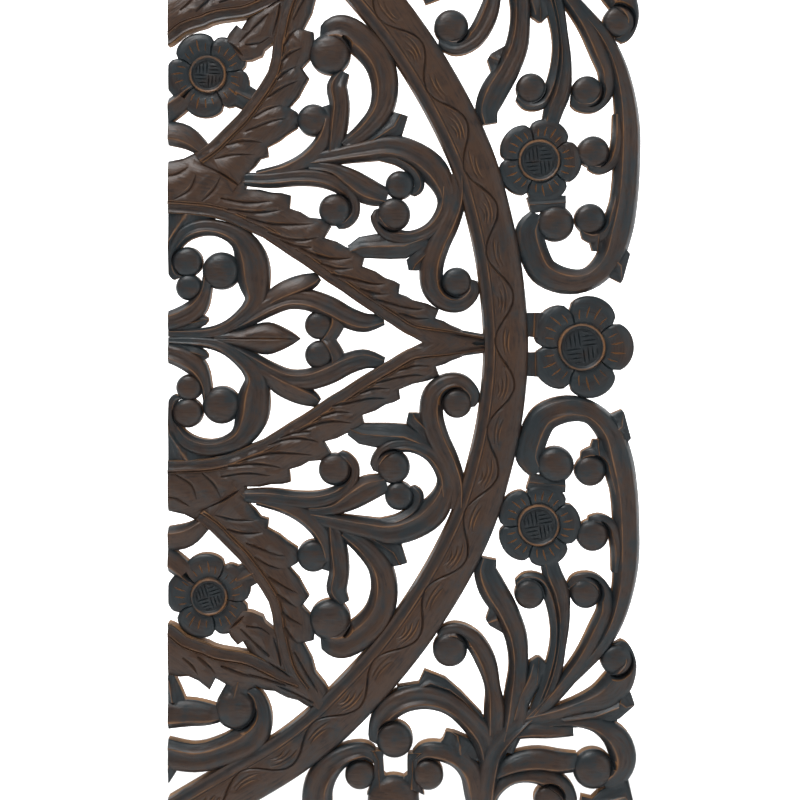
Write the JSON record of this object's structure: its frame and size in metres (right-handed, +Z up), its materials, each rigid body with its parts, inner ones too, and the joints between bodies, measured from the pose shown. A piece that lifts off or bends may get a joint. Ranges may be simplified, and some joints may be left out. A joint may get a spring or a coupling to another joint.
{
  "type": "carved wall panel",
  "caption": "Openwork carved wood panel with a half-medallion ring, toothed leaf arms, flowers and ball-ended scrolls, flat at the back to hang or fix on a wall",
  "frame": {"origin": "On the flat back, in the middle of the ring band at the panel's mid-height", "axes": "+X right as seen from the front, +Y into the wall, +Z up; the carving faces -Y"},
  "size_m": [0.409, 0.02, 0.813],
  "materials": {
    "stained_wood": "dark stain, worn brown on the ridges, satin"
  },
  "bodies": {
    "root": {"carved_panel": "stained_wood"}
  },
  "joints": []
}
